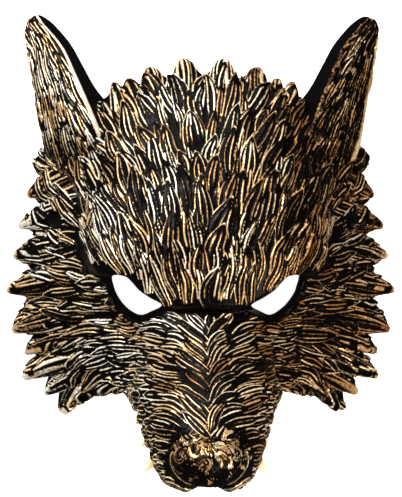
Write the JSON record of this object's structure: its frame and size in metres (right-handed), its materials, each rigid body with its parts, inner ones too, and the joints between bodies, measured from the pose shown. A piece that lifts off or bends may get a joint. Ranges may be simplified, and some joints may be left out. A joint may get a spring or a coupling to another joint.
{
  "type": "wolf half mask",
  "caption": "Hollow moulded wolf half mask with upright ears, slanted eye holes, fur in relief, open muzzle with nose and teeth, and strap holes in the temples.",
  "frame": {"origin": "centre of the mask's box in plan, on the surface that its trimmed back edge rests on", "axes": "+Y from the muzzle to the ears, +Z out of the face towards the nose, +X to the right as seen from above"},
  "size_m": [0.2316, 0.276, 0.1273],
  "materials": {
    "lacquered_shell": "black lacquer over moulded foam, fur ridges dry-brushed with gold and bronze",
    "ivory_teeth": "satin cream"
  },
  "bodies": {
    "root": {"mask_shell": "lacquered_shell", "canine_right": "ivory_teeth", "canine_left": "ivory_teeth", "cheek_tooth_front_right": "ivory_teeth", "cheek_tooth_front_left": "ivory_teeth", "cheek_tooth_rear_right": "ivory_teeth", "cheek_tooth_rear_left": "ivory_teeth"}
  },
  "joints": []
}
